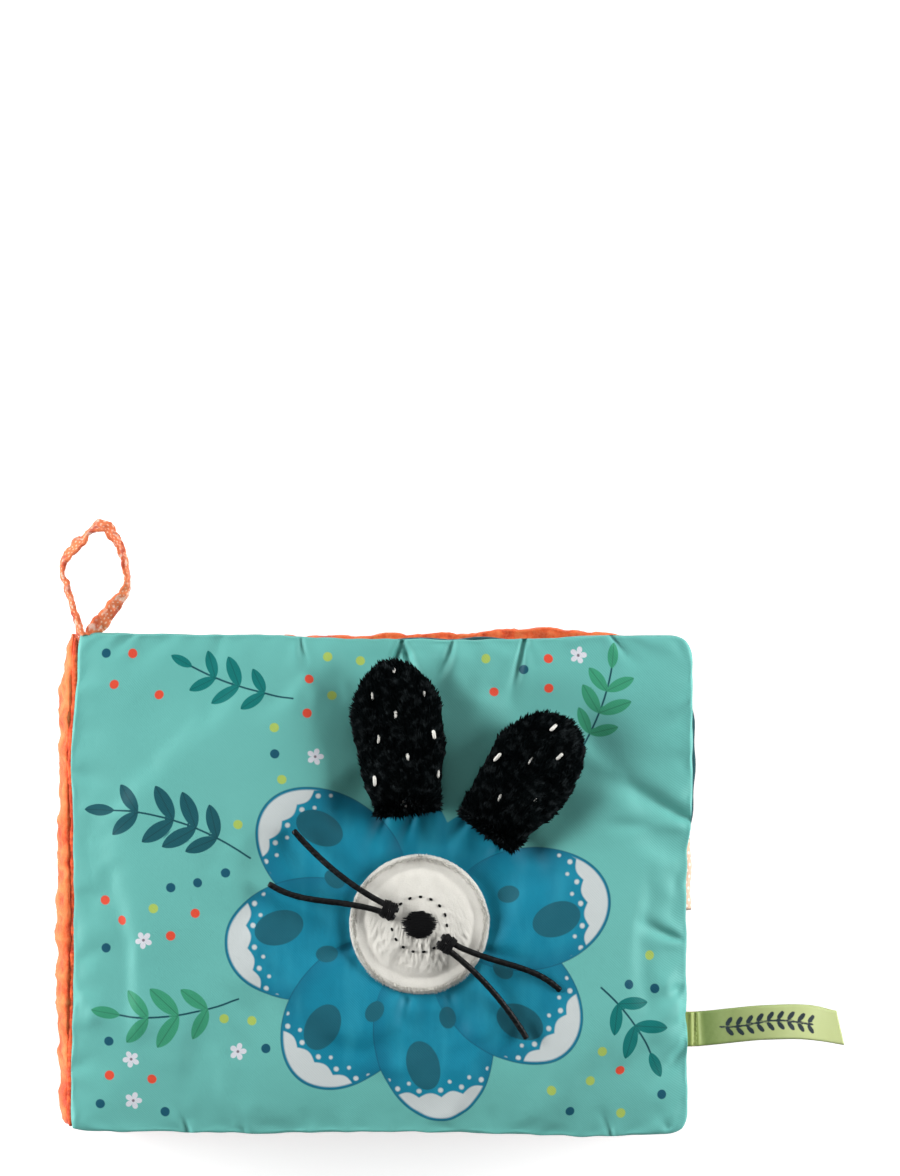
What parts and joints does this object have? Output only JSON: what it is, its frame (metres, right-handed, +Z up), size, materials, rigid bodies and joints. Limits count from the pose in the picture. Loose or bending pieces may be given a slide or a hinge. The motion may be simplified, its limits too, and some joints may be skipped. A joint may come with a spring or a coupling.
{
  "type": "soft photo album",
  "caption": "Soft fabric baby photo album with padded covers and pages, clear photo pockets, an applique flower with lifting plush petals, a hanging loop and a ribbon label.",
  "frame": {"origin": "centre of the flat face of the back cover that the closed album lies on", "axes": "+X from the spine to the fore edge, +Y to the head, +Z up out of the front cover"},
  "size_m": [0.2571, 0.1972, 0.0498],
  "materials": {
    "teal_satin": "printed polyester satin, padded and slightly puckered",
    "orange_crinkle": "crinkled cotton crepe",
    "wadding": "polyester wadding, hidden",
    "dark_teal_cotton": "plain woven cotton",
    "clear_vinyl": "clear soft vinyl sheet",
    "cream_plush": "short combed plush",
    "white_thread": "satin stitch",
    "black_thread": "satin stitch",
    "black_cord": "waxed cotton cord",
    "black_plush": "long pile plush",
    "orange_dot_ribbon": "cotton tape with a small white dot",
    "green_satin_ribbon": "satin ribbon",
    "peach_dot_ribbon": "cotton ribbon with a small white dot"
  },
  "bodies": {
    "back_cover": {"back_cover_fabric": "orange_crinkle", "back_cover_wadding": "wadding", "back_cover_lining": "dark_teal_cotton", "back_cover_pocket_window": "clear_vinyl", "back_cover_pocket_binding": "dark_teal_cotton"},
    "spine": {"spine_fabric": "orange_crinkle", "spine_wadding": "wadding", "spine_lining": "dark_teal_cotton"},
    "front_cover": {"front_cover_fabric": "teal_satin", "front_cover_wadding": "wadding", "front_cover_lining": "dark_teal_cotton", "front_cover_pocket_window": "clear_vinyl", "front_cover_pocket_binding": "dark_teal_cotton", "flower_disc": "cream_plush", "disc_border": "white_thread", "disc_knot": "black_thread", "left_outer_stamen": "black_cord", "left_inner_stamen": "black_cord", "left_stamen_saddle": "black_thread", "right_outer_stamen": "black_cord", "right_inner_stamen": "black_cord", "right_stamen_saddle": "black_thread"},
    "page_1": {"page_1_sleeve": "dark_teal_cotton", "page_1_wadding": "wadding", "page_1_front_window": "clear_vinyl", "page_1_front_binding": "dark_teal_cotton", "page_1_back_window": "clear_vinyl", "page_1_back_binding": "dark_teal_cotton"},
    "page_2": {"page_2_sleeve": "dark_teal_cotton", "page_2_wadding": "wadding", "page_2_front_window": "clear_vinyl", "page_2_front_binding": "dark_teal_cotton", "page_2_back_window": "clear_vinyl", "page_2_back_binding": "dark_teal_cotton", "page_pull_tab": "peach_dot_ribbon"},
    "page_3": {"page_3_sleeve": "dark_teal_cotton", "page_3_wadding": "wadding", "page_3_front_window": "clear_vinyl", "page_3_front_binding": "dark_teal_cotton", "page_3_back_window": "clear_vinyl", "page_3_back_binding": "dark_teal_cotton"},
    "page_4": {"page_4_sleeve": "dark_teal_cotton", "page_4_wadding": "wadding", "page_4_front_window": "clear_vinyl", "page_4_front_binding": "dark_teal_cotton", "page_4_back_window": "clear_vinyl", "page_4_back_binding": "dark_teal_cotton"},
    "upper_petal": {"upper_petal_lining": "black_plush", "upper_petal_pile": "black_plush", "upper_petal_wadding": "wadding"},
    "side_petal": {"side_petal_lining": "black_plush", "side_petal_pile": "black_plush", "side_petal_wadding": "wadding"},
    "hang_loop": {"hang_loop": "orange_dot_ribbon"},
    "side_label": {"side_label": "green_satin_ribbon"}
  },
  "joints": [
    {"name": "spine_fold", "type": "hinge", "parent": "back_cover", "child": "spine", "pos_m": [-0.1005, 0, 0.005], "axis": [0, -1, 0], "range_deg": [0, 90]},
    {"name": "cover_open", "type": "hinge", "parent": "spine", "child": "front_cover", "pos_m": [-0.1005, 0, 0.037], "axis": [0, -1, 0], "range_deg": [0, 88]},
    {"name": "page_1_turn", "type": "hinge", "parent": "spine", "child": "page_1", "pos_m": [-0.0996, 0, 0.0291], "axis": [0, -1, 0], "range_deg": [0, 45]},
    {"name": "page_2_turn", "type": "hinge", "parent": "spine", "child": "page_2", "pos_m": [-0.0996, 0, 0.0237], "axis": [0, -1, 0], "range_deg": [0, 15]},
    {"name": "page_3_turn", "type": "hinge", "parent": "spine", "child": "page_3", "pos_m": [-0.0996, 0, 0.0183], "axis": [0, -1, 0], "range_deg": [-15, 0]},
    {"name": "page_4_turn", "type": "hinge", "parent": "spine", "child": "page_4", "pos_m": [-0.0996, 0, 0.0129], "axis": [0, -1, 0], "range_deg": [-45, 0]},
    {"name": "upper_petal_lift", "type": "hinge", "parent": "front_cover", "child": "upper_petal", "pos_m": [0.00824, 0.0218, 0.0426], "axis": [0.9945, 0.1045, 0], "range_deg": [0, 70]},
    {"name": "side_petal_lift", "type": "hinge", "parent": "front_cover", "child": "side_petal", "pos_m": [0.03316, 0.01512, 0.0426], "axis": [0.809, -0.5878, 0], "range_deg": [0, 70]},
    {"name": "hang_loop_swing", "type": "hinge", "parent": "front_cover", "child": "hang_loop", "pos_m": [-0.0935, 0.0811, 0.037], "axis": [1, 0, 0], "range_deg": [-40, 35], "stiffness_Nm_per_rad": 0.004},
    {"name": "side_label_swing", "type": "hinge", "parent": "front_cover", "child": "side_label", "pos_m": [0.0999, -0.0475, 0.037], "axis": [0, -1, 0], "range_deg": [-40, 50], "stiffness_Nm_per_rad": 0.004}
  ],
  "couplings": [
    {"joint": "spine_fold", "follows": "cover_open", "ratio": 1},
    {"joint": "page_1_turn", "follows": "cover_open", "ratio": 0.5},
    {"joint": "page_2_turn", "follows": "cover_open", "ratio": 0.16667},
    {"joint": "page_3_turn", "follows": "cover_open", "ratio": -0.16667},
    {"joint": "page_4_turn", "follows": "cover_open", "ratio": -0.5}
  ]
}
